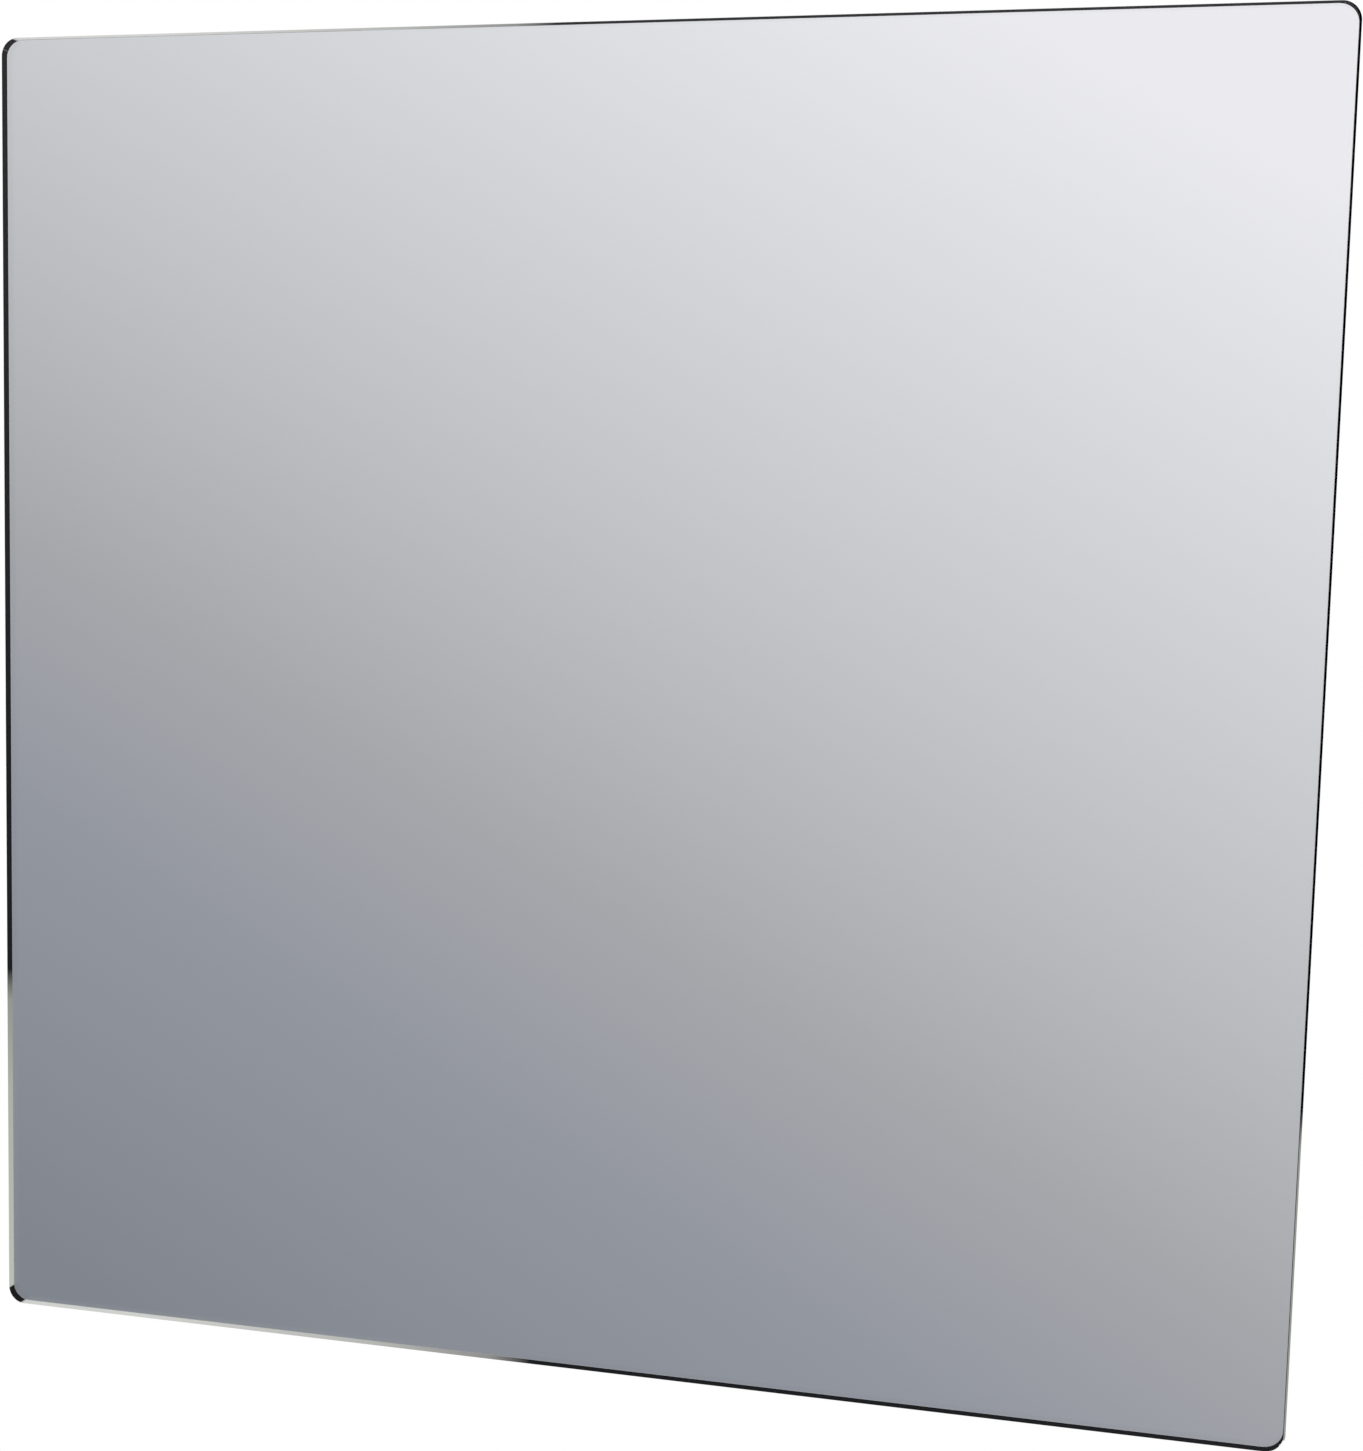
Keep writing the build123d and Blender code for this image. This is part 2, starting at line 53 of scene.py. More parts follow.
# ---------------------------------------------------------------------------------------------------------
# Where things are
# ---------------------------------------------------------------------------------------------------------
def front(node):
    """The depth in y of a node's face towards the viewer."""
    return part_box(node)[0].y


def back(node):
    """The depth in y of a node's face towards the wall."""
    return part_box(node)[1].y


def half_side(node):
    """Half the width of a square node that is centred on the frame's Y axis."""
    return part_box(node)[1].x


# HAIR is the gap between the pane's silvered face and the coat behind it, so that the two never coincide.
FACE_CENTRE = Vector((0, front("glass_pane"), 0))
SIDE = 2 * half_side("glass_pane")
GLASS_CORNER = 8 * MM
GLASS_ARRIS = 0.06 * MM
RIGHT_ARRIS = 0.8 * MM
COAT_INSET = 0.2 * MM
COAT_CORNER = GLASS_CORNER - COAT_INSET
HAIR = 0.03 * MM


# ---------------------------------------------------------------------------------------------------------
# Nodes
# ---------------------------------------------------------------------------------------------------------
def add_node(tree, kind, inputs=None, **settings):
    """Adds a node. An input is a value or another node's output, by socket name or number."""
    made = tree.nodes.new(kind)
    for name, value in settings.items():
        setattr(made, name, value)
    for key, value in (inputs or {}).items():
        if isinstance(value, bpy.types.NodeSocket):
            tree.links.new(value, made.inputs[key])
        else:
            made.inputs[key].default_value = value
    return made


def calc(tree, operation, a, b=0.0, c=0.0):
    """The output of one Math node."""
    return add_node(tree, "ShaderNodeMath", {0: a, 1: b, 2: c}, operation=operation).outputs[0]


def soft_step(tree, value, low, high):
    """0 below low, 1 above high, and a smooth rise between them."""
    inputs = {"Value": value, "From Min": low, "From Max": high}
    step = add_node(tree, "ShaderNodeMapRange", inputs, interpolation_type="SMOOTHSTEP")
    return step.outputs["Result"]


def blend_colours(tree, factor, first, second):
    """A mix of two colours: the first at factor 0, the second at factor 1."""
    mix = add_node(tree, "ShaderNodeMix", data_type="RGBA")
    for socket, value in zip((mix.inputs[0], mix.inputs[6], mix.inputs[7]), (factor, first, second)):
        if isinstance(value, bpy.types.NodeSocket):
            tree.links.new(value, socket)
        else:
            socket.default_value = value
    return mix.outputs[2]


def ramp(tree, value, stops):
    """A colour ramp with the given (position, (red, green, blue)) stops."""
    made = add_node(tree, "ShaderNodeValToRGB", {"Fac": value})
    elements = made.color_ramp.elements
    while len(elements) < len(stops):
        elements.new(0.5)
    for element, (position, colour) in zip(elements, stops):
        element.position = position
        element.color = (*colour, 1)
    return made.outputs["Color"]


# ---------------------------------------------------------------------------------------------------------
# Camera
# ---------------------------------------------------------------------------------------------------------
CAMERA_OFFSET = Vector((0.415, -1.5406, 0.1536)) * SIDE
AIM_OFFSET = Vector((0.0491, 0, -0.0038)) * SIDE
CAMERA_ROLL = math.radians(1.42)
SENSOR = 36.0
FOCAL = 1.499 * SENSOR


def make_camera():
    """The camera at the photo's viewing angle: a little right of the mirror and a little above its middle."""
    data = bpy.data.cameras.new("camera")
    data.sensor_width = SENSOR
    data.lens = FOCAL
    camera = bpy.data.objects.new("camera", data)
    bpy.context.scene.collection.objects.link(camera)
    camera.location = FACE_CENTRE + CAMERA_OFFSET
    towards = (FACE_CENTRE + AIM_OFFSET) - camera.location
    aim = towards.to_track_quat("-Z", "Y")
    camera.rotation_mode = "QUATERNION"
    camera.rotation_quaternion = aim @ Quaternion((0, 0, 1), CAMERA_ROLL)
    bpy.context.scene.camera = camera


make_camera()

# ---------------------------------------------------------------------------------------------------------
# Studio
# ---------------------------------------------------------------------------------------------------------
# Places in the room before the mirror are given as so far right, or up, for each unit ahead. The gradient
# runs from its low place to its high one along its angle, and stays as it is past both ends.
GRADIENT_ANGLE = math.radians(61.5)
GRADIENT_LOW = -0.625
GRADIENT_HIGH = 0.155
MIRROR_LOSS = 1.05
LEAST_AHEAD = 0.02
FACE_GRADIENT = (
    (0.0, (0.223, 0.239, 0.274)),
    (0.26, (0.295, 0.309, 0.352)),
    (0.42, (0.385, 0.390, 0.416)),
    (0.77, (0.650, 0.656, 0.685)),
    (1.0, (0.845, 0.837, 0.877)),
)
BLACK = (0.0, 0.0, 0.0, 1.0)
WHITE = (1.0, 1.0, 1.0, 1.0)
CAMERA_WHITE = (1 / MIRROR_LOSS, 1 / MIRROR_LOSS, 1 / MIRROR_LOSS, 1.0)
RIM_LIGHT = (0.31, 0.32, 0.29, 1.0)
RIM_LIGHT_BELOW = (-0.26, -0.28)
BEHIND = (-0.25, 0.0)
SKY_SLANT = 0.35
SKY = (
    (0.0, (0.10, 0.10, 0.11)),
    (0.35, (0.20, 0.21, 0.22)),
    (0.55, (0.42, 0.43, 0.45)),
    (0.7, (0.85, 0.86, 0.88)),
    (1.0, (0.95, 0.95, 0.95)),
)

# The room that the glass's edge sees: a wall to the left with a dark doorway in it, and a floor that is
# lit by the mirror and at the far right. Each light is (place, colour), from its edge inwards.
LEFT_WALL_EDGE = -0.305
LEFT_WALL_DEPTH = 0.2
LEFT_WALL = (
    (0.0, (0.0, 0.0, 0.0)),
    (0.1, (0.28, 0.28, 0.27)),
    (0.4, (0.49, 0.49, 0.47)),
    (1.0, (0.66, 0.66, 0.64)),
)
DOORWAY_FOOT = (0.03, 0.06)
DOORWAY_TOP = (0.36, 0.31)
FLOOR_EDGE = -0.237
FLOOR_DEPTH = 0.15
FLOOR_LIGHT = (
    (0.0, (0.0, 0.0, 0.0)),
    (0.1, (0.30, 0.31, 0.28)),
    (0.4, (0.43, 0.44, 0.40)),
    (1.0, (0.52, 0.53, 0.48)),
)
FLOOR_LIT_RIGHT_OF = (0.565, 0.58)
FLOOR_LIT_WITHIN = (0.25, 0.22)


def edge_room(tree, right, up):
    """The room seen by light that the pane's edge has turned: dark, but for its left wall and its floor."""
    wall_place = calc(tree, "DIVIDE", calc(tree, "SUBTRACT", LEFT_WALL_EDGE, right), LEFT_WALL_DEPTH)
    wall = ramp(tree, wall_place, LEFT_WALL)
    doorway = calc(tree, "MULTIPLY", soft_step(tree, up, *DOORWAY_FOOT), soft_step(tree, up, *DOORWAY_TOP))
    wall = blend_colours(tree, doorway, wall, BLACK)
    floor_place = calc(tree, "DIVIDE", calc(tree, "SUBTRACT", FLOOR_EDGE, up), FLOOR_DEPTH)
    floor = ramp(tree, floor_place, FLOOR_LIGHT)
    reach = calc(tree, "ADD", calc(tree, "MULTIPLY", right, right), calc(tree, "MULTIPLY", up, up))
    far_right = soft_step(tree, right, *FLOOR_LIT_RIGHT_OF)
    lit = calc(tree, "MAXIMUM", far_right, soft_step(tree, reach, *FLOOR_LIT_WITHIN))
    floor = blend_colours(tree, lit, BLACK, floor)
    both = add_node(tree, "ShaderNodeMix", {6: wall, 7: floor}, data_type="RGBA", blend_type="LIGHTEN")
    both.inputs[0].default_value = 1.0
    return both.outputs[2]


def make_studio():
    """A studio that looks white, with a soft diagonal gradient before the mirror for its face to reflect."""
    world = bpy.data.worlds.new("studio")
    bpy.context.scene.world = world
    world.use_nodes = True
    tree = world.node_tree
    tree.nodes.clear()
    direction = add_node(tree, "ShaderNodeTexCoord").outputs["Generated"]
    axes = add_node(tree, "ShaderNodeSeparateXYZ", {0: direction})
    ahead = calc(tree, "MAXIMUM", calc(tree, "MULTIPLY", axes.outputs["Y"], -1.0), LEAST_AHEAD)
    right = calc(tree, "DIVIDE", axes.outputs["X"], ahead)
    up = calc(tree, "DIVIDE", axes.outputs["Z"], ahead)
    across = calc(tree, "MULTIPLY", right, math.cos(GRADIENT_ANGLE))
    along = calc(tree, "ADD", across, calc(tree, "MULTIPLY", up, math.sin(GRADIENT_ANGLE)))
    past_low = calc(tree, "SUBTRACT", along, GRADIENT_LOW)
    gradient = ramp(tree, calc(tree, "DIVIDE", past_low, GRADIENT_HIGH - GRADIENT_LOW), FACE_GRADIENT)

    # The camera's own ray has depth 1. Where the depth is odd and over 4, the light has been turned by the
    # pane's edge as well as by its silver.
    path = add_node(tree, "ShaderNodeLightPath")
    bounces = path.outputs["Ray Depth"]
    odd = calc(tree, "GREATER_THAN", calc(tree, "MODULO", bounces, 2.0), 0.5)
    by_edge = calc(tree, "MULTIPLY", odd, calc(tree, "GREATER_THAN", bounces, 4.5))
    ahead_light = blend_colours(tree, by_edge, gradient, edge_room(tree, right, up))

    # Behind the mirror the studio is white, but the first bounces off glass see only a dim floor there, which
    # keeps the pane's rim dark.
    shallow = calc(tree, "LESS_THAN", bounces, 3.5)
    rim = calc(tree, "MULTIPLY", path.outputs["Is Singular Ray"], shallow)
    dim = blend_colours(tree, soft_step(tree, axes.outputs["Z"], *RIM_LIGHT_BELOW), BLACK, RIM_LIGHT)
    behind_light = blend_colours(tree, rim, WHITE, dim)
    behind = soft_step(tree, axes.outputs["Y"], *BEHIND)
    seen = blend_colours(tree, behind, ahead_light, behind_light)

    # Everything that isn't a mirror or glass sees a soft sky, brighter overhead and to the right.
    height = calc(tree, "ADD", axes.outputs["Z"], calc(tree, "MULTIPLY", axes.outputs["X"], SKY_SLANT))
    sky = ramp(tree, calc(tree, "MULTIPLY_ADD", height, 0.5, 0.5), SKY)
    seen = blend_colours(tree, path.outputs["Is Singular Ray"], sky, seen)
    seen = blend_colours(tree, path.outputs["Is Camera Ray"], seen, CAMERA_WHITE)
    light = add_node(tree, "ShaderNodeBackground", {"Color": seen, "Strength": MIRROR_LOSS})
    output = add_node(tree, "ShaderNodeOutputWorld", {"Surface": light.outputs[0]})
    output.is_active_output = True
    bpy.context.scene.view_settings.view_transform = "Standard"


make_studio()

FLOOR_DROP = 1.2
FLOOR_RADIUS = 1.5
FLOOR_SIDES = 128

# Each light is (name, place, side of its square, watts).
LIGHTS = (
    ("key_light", (1.3, 1.1, 1.4), 1.6, 24),
    ("fill_light", (-1.6, 0.9, 0.5), 1.4, 7),
)


def make_light(name, place, size, power):
    """A soft square light turned to the wall plate's middle. The camera and the glass don't see it."""
    data = bpy.data.lights.new(name, "AREA")
    data.size = size
    data.energy = power
    light = bpy.data.objects.new(name, data)
    bpy.context.scene.collection.objects.link(light)
    light.location = place
    light.rotation_euler = (-Vector(place)).to_track_quat("-Z", "Y").to_euler()
    light.visible_camera = False
    light.visible_transmission = False


for light_values in LIGHTS:
    make_light(*light_values)


def make_floor():
    """A round pale floor, well below the mirror."""
    mesh = bpy.data.meshes.new("floor")
    turns = [math.tau * i / FLOOR_SIDES for i in range(FLOOR_SIDES)]
    rim = [(FLOOR_RADIUS * math.cos(t), FLOOR_RADIUS * math.sin(t), -FLOOR_DROP) for t in turns]
    mesh.from_pydata(rim, [], [range(FLOOR_SIDES)])
    floor = bpy.data.objects.new("floor", mesh)
    bpy.context.scene.collection.objects.link(floor)
    mesh.materials.append(pale_floor())


# ---------------------------------------------------------------------------------------------------------
# Meshes
# ---------------------------------------------------------------------------------------------------------
CORNER_STEPS = 24
HOLE_SIDES = 48
SMOOTH_BELOW = math.radians(30)


def square_path(half, radius, side_steps=1):
    """A rounded square as (point, outward direction) pairs in x and z, starting at +X and turning to +Z."""
    middle = half - radius
    corners = [Vector((x * middle, z * middle)) for x, z in ((1, 1), (-1, 1), (-1, -1), (1, -1))]
    path = []
    for quarter, corner in enumerate(corners):
        for step in range(CORNER_STEPS + 1):
            turn = math.pi / 2 * (quarter + step / CORNER_STEPS)
            outward = Vector((math.cos(turn), math.sin(turn)))
            path.append((corner + radius * outward, outward))
        to_next = corners[(quarter + 1) % 4] - corner
        last, outward = path[-1]
        for step in range(1, side_steps):
            path.append((last + to_next * step / side_steps, outward))
    return path


def finish_mesh(name, points, faces, materials):
    """A shaded mesh object, smooth except at its sharp edges."""
    mesh = bpy.data.meshes.new(name)
    mesh.from_pydata(points, [], faces)
    for material in materials:
        mesh.materials.append(material)
    mesh.polygons.foreach_set("use_smooth", [True] * len(mesh.polygons))
    mesh.set_sharp_from_angle(angle=SMOOTH_BELOW)
    made = bpy.data.objects.new(name, mesh)
    bpy.context.scene.collection.objects.link(made)
    return made


def strip(low, high, count):
    """The faces between two rings of points that start at low and at high."""
    faces = []
    for i in range(count):
        j = (i + 1) % count
        faces.append((low + j, low + i, high + i, high + j))
    return faces


def slab(name, half, radius, rings, materials):
    """A closed rounded-square slab. Each ring is (inset from the outline, y), from the front to the back."""
    path = square_path(half, radius)
    points = []
    for inset, y in rings:
        for spot, outward in path:
            x, z = spot - outward * inset
            points.append((x, y, z))
    count = len(path)
    faces = [tuple(range(count))]
    for ring in range(len(rings) - 1):
        faces += strip(ring * count, (ring + 1) * count, count)
    faces.append(tuple(reversed(range(len(points) - count, len(points)))))
    return finish_mesh(name, points, faces, materials)


def moulding(name, path, base, profile, swell, materials):
    """A closed moulding along a path from square_path.

    The profile's points are (outwards, y past the base), and swell gives its size at each step of the path.
    """
    points = []
    for outwards, along_y in profile:
        for i, (spot, outward) in enumerate(path):
            size = swell(spot, i)
            x, z = spot + outward * outwards * size
            points.append((x, base + along_y * size, z))
    count = len(path)
    faces = []
    for ring in range(len(profile)):
        faces += strip(ring * count, (ring + 1) % len(profile) * count, count)
    return finish_mesh(name, points, faces, materials)


def drill(piece, places, rings):
    """Replaces a slab's two flat faces by ones with round holes. Each ring is (hole radius, y)."""
    mesh = bmesh.new()
    mesh.from_mesh(piece.data)
    caps = sorted(mesh.faces, key=lambda face: len(face.verts))[-2:]
    front_cap, back_cap = sorted(caps, key=lambda face: face.calc_center_median().y)
    rims = [list(front_cap.edges), list(back_cap.edges)]
    bmesh.ops.delete(mesh, geom=[front_cap, back_cap], context="FACES_ONLY")
    for across, upwards in places:
        loops = []
        for radius, y in rings:
            turns = [math.tau * i / HOLE_SIDES for i in range(HOLE_SIDES)]
            spots = [(across + radius * math.cos(t), y, upwards + radius * math.sin(t)) for t in turns]
            loops.append([mesh.verts.new(spot) for spot in spots])
        for near, far in zip(loops, loops[1:]):
            for i in range(HOLE_SIDES):
                j = (i + 1) % HOLE_SIDES
                mesh.faces.new((near[i], near[j], far[j], far[i])).smooth = True
        for rim, loop in zip(rims, (loops[0], loops[-1])):
            rim += [mesh.edges.get((loop[i], loop[(i + 1) % HOLE_SIDES])) for i in range(HOLE_SIDES)]
    for rim in rims:
        bmesh.ops.triangle_fill(mesh, edges=rim, use_beauty=True)
    bmesh.ops.recalc_face_normals(mesh, faces=mesh.faces)
    mesh.to_mesh(piece.data)
    mesh.free()
    piece.data.set_sharp_from_angle(angle=SMOOTH_BELOW)


def face_outwards(piece):
    """Turns every face of a closed mesh outwards."""
    mesh = bmesh.new()
    mesh.from_mesh(piece.data)
    bmesh.ops.recalc_face_normals(mesh, faces=mesh.faces)
    mesh.to_mesh(piece.data)
    mesh.free()


# ---------------------------------------------------------------------------------------------------------
# Materials
# ---------------------------------------------------------------------------------------------------------
def new_material(name, **inputs):
    """A material with one Principled shader, whose uniform values are set by socket name."""
    material = bpy.data.materials.new(name)
    material.use_nodes = True
    shader = material.node_tree.nodes["Principled BSDF"]
    for key, value in inputs.items():
        shader.inputs[key.replace("_", " ")].default_value = value
    return material, material.node_tree, shader


def own_place(tree):
    """The point's place on its own piece, in metres."""
    return add_node(tree, "ShaderNodeTexCoord").outputs["Object"]


def noise(tree, scale, detail=2.0):
    """Soft noise from 0 to 1, with scale features to the metre."""
    inputs = {"Vector": own_place(tree), "Scale": scale, "Detail": detail}
    return add_node(tree, "ShaderNodeTexNoise", inputs).outputs["Fac"]


def cells(tree, scale):
    """Cells of random grey, with scale cells to the metre."""
    inputs = {"Vector": own_place(tree), "Scale": scale}
    cell = add_node(tree, "ShaderNodeTexVoronoi", inputs).outputs["Color"]
    return add_node(tree, "ShaderNodeSeparateColor", {0: cell}).outputs["Red"]


def tint(tree, shader, factor, first, second):
    """Colours the shader between two colours."""
    colour = blend_colours(tree, factor, (*first, 1), (*second, 1))
    tree.links.new(colour, shader.inputs["Base Color"])


def roughen(tree, shader, factor, low, high):
    """Varies the shader's roughness between two values."""
    spread = add_node(tree, "ShaderNodeMapRange", {"Value": factor, "To Min": low, "To Max": high})
    tree.links.new(spread.outputs["Result"], shader.inputs["Roughness"])


def bump(tree, shader, height, depth, strength=1.0):
    """Raises the surface by up to depth metres where the height is 1."""
    inputs = {"Height": height, "Distance": depth, "Strength": strength}
    raised = add_node(tree, "ShaderNodeBump", inputs).outputs["Normal"]
    tree.links.new(raised, shader.inputs["Normal"])


def pale_floor():
    """A pale matt floor that fades into the white of the studio towards its rim."""
    material, tree, shader = new_material("pale_floor", Roughness=0.8)
    tint(tree, shader, noise(tree, 6.0, 3.0), (0.78, 0.78, 0.78), (0.84, 0.84, 0.84))
    away = add_node(tree, "ShaderNodeVectorMath", {0: own_place(tree)}, operation="LENGTH").outputs["Value"]
    rim_distance = math.hypot(FLOOR_RADIUS, FLOOR_DROP)
    fade = soft_step(tree, away, FLOOR_DROP, rim_distance)
    white = add_node(tree, "ShaderNodeEmission", {"Color": WHITE})
    mixed = add_node(tree, "ShaderNodeMixShader", {0: fade, 1: shader.outputs[0], 2: white.outputs[0]})
    tree.links.new(mixed.outputs[0], tree.nodes["Material Output"].inputs["Surface"])
    return material


def clear_glass():
    """Clear float glass, with the faintest unevenness in its tint."""
    material, tree, shader = new_material("clear_glass", Roughness=0.0, IOR=1.52)
    shader.inputs["Transmission Weight"].default_value = 1.0
    tint(tree, shader, noise(tree, 4.0), (0.983, 0.994, 0.989), (0.987, 0.996, 0.991))
    return material


def silver():
    """The reflecting coat."""
    material, tree, shader = new_material("silver", Metallic=1.0, Roughness=0.0)
    tint(tree, shader, noise(tree, 9.0), (0.948, 0.948, 0.947), (0.952, 0.952, 0.952))
    return material


def mirror_paint():
    """The coater's grey backing paint, curtain-coated, so a little wavy and satin."""
    material, tree, shader = new_material("back_paint")
    tint(tree, shader, noise(tree, 14.0, 4.0), (0.105, 0.118, 0.124), (0.128, 0.141, 0.147))
    roughen(tree, shader, noise(tree, 60.0), 0.28, 0.42)
    bump(tree, shader, noise(tree, 350.0, 1.0), 0.04 * MM)
    return material


def laminate():
    """Outdoor compact laminate: a pearl-textured grey surface over a black core that shows at the edges."""
    material, tree, shader = new_material("board")
    facing = add_node(tree, "ShaderNodeTexCoord").outputs["Normal"]
    towards_wall = add_node(tree, "ShaderNodeSeparateXYZ", {0: facing}).outputs["Y"]
    surface = soft_step(tree, calc(tree, "ABSOLUTE", towards_wall), 0.72, 0.8)
    grey = blend_colours(tree, noise(tree, 900.0, 3.0), (0.235, 0.240, 0.245, 1), (0.300, 0.305, 0.310, 1))
    black = blend_colours(tree, noise(tree, 250.0, 4.0), (0.012, 0.011, 0.010, 1), (0.030, 0.027, 0.024, 1))
    tree.links.new(blend_colours(tree, surface, black, grey), shader.inputs["Base Color"])
    roughen(tree, shader, noise(tree, 40.0), 0.42, 0.55)
    bump(tree, shader, noise(tree, 1100.0, 1.0), 0.10 * MM)
    return material


def foam_tape():
    """White closed-cell foam."""
    material, tree, shader = new_material("foam_tape")
    pores = cells(tree, 2500.0)
    tint(tree, shader, pores, (0.70, 0.70, 0.68), (0.84, 0.84, 0.82))
    roughen(tree, shader, pores, 0.75, 0.95)
    bump(tree, shader, pores, 0.08 * MM)
    return material


def silicone():
    """Black neutral-cure sealant, tooled smooth."""
    material, tree, shader = new_material("sealant")
    tint(tree, shader, noise(tree, 30.0), (0.010, 0.010, 0.011), (0.022, 0.022, 0.024))
    roughen(tree, shader, noise(tree, 80.0), 0.25, 0.45)
    bump(tree, shader, noise(tree, 160.0), 0.12 * MM)
    return material


def rubber():
    """Black EPDM sheet with a fabric-moulded grain."""
    material, tree, shader = new_material("rubber_pad")
    tint(tree, shader, noise(tree, 120.0, 4.0), (0.014, 0.014, 0.014), (0.034, 0.033, 0.032))
    roughen(tree, shader, noise(tree, 50.0), 0.72, 0.9)
    bump(tree, shader, noise(tree, 1600.0, 2.0), 0.08 * MM)
    return material


def galvanised(name, crystals, dark, light):
    """Hot-dip galvanised steel: dull zinc crystals of several shades over a lumpy skin."""
    material, tree, shader = new_material(name, Metallic=1.0)
    spangle = cells(tree, crystals)
    clouds = calc(tree, "MULTIPLY", noise(tree, 35.0, 4.0), 0.4)
    mottle = calc(tree, "ADD", calc(tree, "MULTIPLY", spangle, 0.6), clouds)
    tint(tree, shader, mottle, dark, light)
    roughen(tree, shader, mottle, 0.52, 0.34)
    skin = calc(tree, "ADD", noise(tree, 240.0, 3.0), calc(tree, "MULTIPLY", spangle, 0.12))
    bump(tree, shader, skin, 0.22 * MM)
    return material


def zinc_plate():
    """Bright zinc plate on the fasteners, a little blue, with fine turning marks and dulled patches."""
    material, tree, shader = new_material("zinc_fasteners", Metallic=1.0)
    patches = noise(tree, 180.0, 4.0)
    tint(tree, shader, patches, (0.60, 0.64, 0.68), (0.79, 0.80, 0.80))
    roughen(tree, shader, patches, 0.38, 0.20)
    bump(tree, shader, noise(tree, 1500.0, 2.0), 0.03 * MM)
    return material


def phosphated():
    """Phosphated and oiled spring steel."""
    material, tree, shader = new_material("spring_steel", Metallic=0.85)
    grain = noise(tree, 700.0, 4.0)
    tint(tree, shader, grain, (0.045, 0.043, 0.042), (0.115, 0.110, 0.105))
    roughen(tree, shader, grain, 0.55, 0.38)
    bump(tree, shader, grain, 0.03 * MM)
    return material


def cast_aluminium():
    """Bead-blasted cast aluminium, with a fine pitted grain."""
    material, tree, shader = new_material("cast_block", Metallic=1.0)
    grain = noise(tree, 1400.0, 4.0)
    clouds = noise(tree, 45.0, 3.0)
    tint(tree, shader, clouds, (0.46, 0.46, 0.46), (0.60, 0.60, 0.59))
    roughen(tree, shader, clouds, 0.58, 0.46)
    bump(tree, shader, grain, 0.12 * MM)
    return material


def nylon():
    """Black moulded nylon."""
    material, tree, shader = new_material("nylon")
    tint(tree, shader, noise(tree, 200.0), (0.016, 0.016, 0.017), (0.032, 0.032, 0.034))
    roughen(tree, shader, noise(tree, 90.0), 0.38, 0.55)
    bump(tree, shader, noise(tree, 1800.0, 1.0), 0.02 * MM)
    return material


GLASS = clear_glass()
SILVER = silver()
FINISHES = {
    "clear_glass": GLASS,
    "silver": SILVER,
    "back_paint": mirror_paint(),
    "board": laminate(),
    "foam_tape": foam_tape(),
    "sealant": silicone(),
    "rubber_pad": rubber(),
    "galvanised_steel": galvanised("galvanised_steel", 170.0, (0.38, 0.40, 0.42), (0.68, 0.70, 0.71)),
    "zinc_fasteners": zinc_plate(),
    "spring_steel": phosphated(),
    "cast_block": cast_aluminium(),
    "nylon": nylon(),
}
THICK_STEEL = galvanised("galvanised_thick_steel", 95.0, (0.25, 0.27, 0.29), (0.50, 0.52, 0.54))
THICK_STEEL_NODES = ("wall_plate", "arm_gussets")


def finish_nodes():
    """Gives each CAD node the finish that its material slot names. Thicker steel grows larger crystals."""
    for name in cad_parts:
        node = bpy.data.objects[name]
        for slot in node.material_slots:
            slot.material = THICK_STEEL if name in THICK_STEEL_NODES else FINISHES[slot.material.name]


finish_nodes()
make_floor()


# ---------------------------------------------------------------------------------------------------------
# Mirror pane and its coats
# ---------------------------------------------------------------------------------------------------------
LEAST_SLOPE = 0.05
BACKWARD = 0.5


def place(piece, body, slot, *replaced):
    """Attaches the piece to its body and hides the nodes that it stands for. The slot is not used."""
    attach(piece, body)
    if replaced:
        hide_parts(*replaced)


def make_pane():
    """The glass with its polished front arris, the widest on the right. Its back face carries the silver."""
    near, far, half = front("glass_pane"), back("glass_pane"), half_side("glass_pane")
    rings = ((GLASS_ARRIS, near), (0, near + GLASS_ARRIS), (0, far))
    pane = slab("mirror_pane", half, GLASS_CORNER, rings, [GLASS, SILVER])
    extra = RIGHT_ARRIS - GLASS_ARRIS
    for vertex in pane.data.vertices:
        towards_right = (vertex.co.x - (half - GLASS_CORNER)) / GLASS_CORNER
        if vertex.co.y < near + GLASS_ARRIS / 2 and vertex.co.x > 0:
            vertex.co.x -= extra
        elif vertex.co.y < near + 2 * GLASS_ARRIS and towards_right > 0:
            vertex.co.y += extra * towards_right
    pane.data.update()
    for polygon in pane.data.polygons:
        normal = polygon.normal
        right_arris = normal.x > LEAST_SLOPE and normal.y < -LEAST_SLOPE
        if normal.y > BACKWARD or right_arris:
            polygon.material_index = 1
    place(pane, "mirror", "clear_glass", "glass_pane")


def make_silver():
    """The silver as a coat of its own, a hair behind the pane's silvered face."""
    near, far, half = front("silver_layer") + HAIR, back("silver_layer"), half_side("silver_layer")
    coat = slab("silver_coat", half, COAT_CORNER, ((0, near), (0, far)), [SILVER])
    place(coat, "mirror", "silver", "silver_layer")


def make_paint():
    """The backing paint, which thins out at the very edge."""
    near, far, half = front("back_paint"), back("back_paint"), half_side("back_paint")
    rings = ((0, near), (0.05 * MM, near + 0.1 * MM), (0.25 * MM, far))
    coat = slab("paint_coat", half, COAT_CORNER, rings, [FINISHES["back_paint"]])
    place(coat, "mirror", "back_paint", "back_paint")


